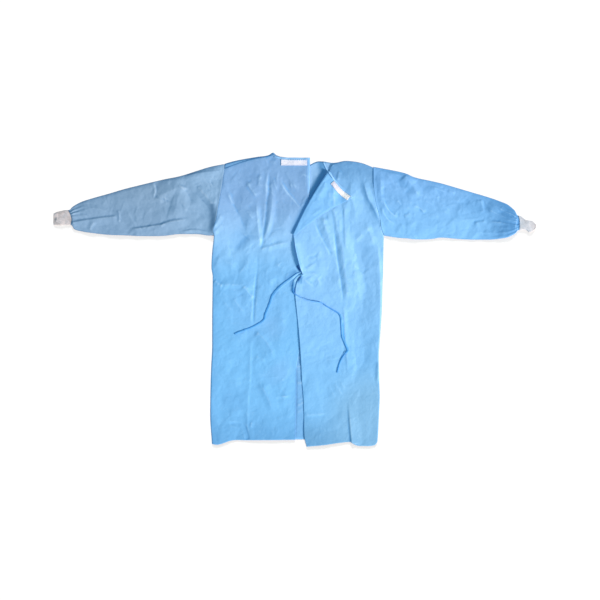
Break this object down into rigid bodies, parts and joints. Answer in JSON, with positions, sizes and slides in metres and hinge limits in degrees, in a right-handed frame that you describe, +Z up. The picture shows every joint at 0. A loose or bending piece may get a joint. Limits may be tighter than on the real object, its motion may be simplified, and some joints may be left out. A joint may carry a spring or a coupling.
{
  "type": "surgical gown",
  "caption": "Long-sleeved open-back gown laid flat with its back up: lapped backs, one neck corner folded over, knitted cuffs, hook and loop neck tapes and waist ties.",
  "frame": {"origin": "on the floor, under the middle of the laid-out gown", "axes": "+X towards the sleeve on the picture's right, +Y towards the neck, +Z up out of the surface that the gown lies on"},
  "size_m": [1.9289, 1.176, 0.0176],
  "materials": {
    "cloth": "matt sky blue nonwoven, crumpled, with a faint sheen",
    "cloth_inside": "inner face of the same nonwoven, slightly duller",
    "knit": "greyish white rib knit",
    "tape": "white hook and loop tape, napped",
    "binding": "light blue nonwoven binding",
    "tie": "folded strip of the same nonwoven"
  },
  "bodies": {
    "root": {"front_panel": "cloth_inside", "back_left": "cloth", "back_right": "cloth", "sleeve_left": "cloth", "sleeve_right": "cloth", "cuff_left": "knit", "cuff_right": "knit", "loop_tape": "tape", "hook_tape": "tape", "neck_binding_left": "binding", "neck_binding_right": "binding", "tie_left": "tie", "tie_right": "tie"}
  },
  "joints": []
}
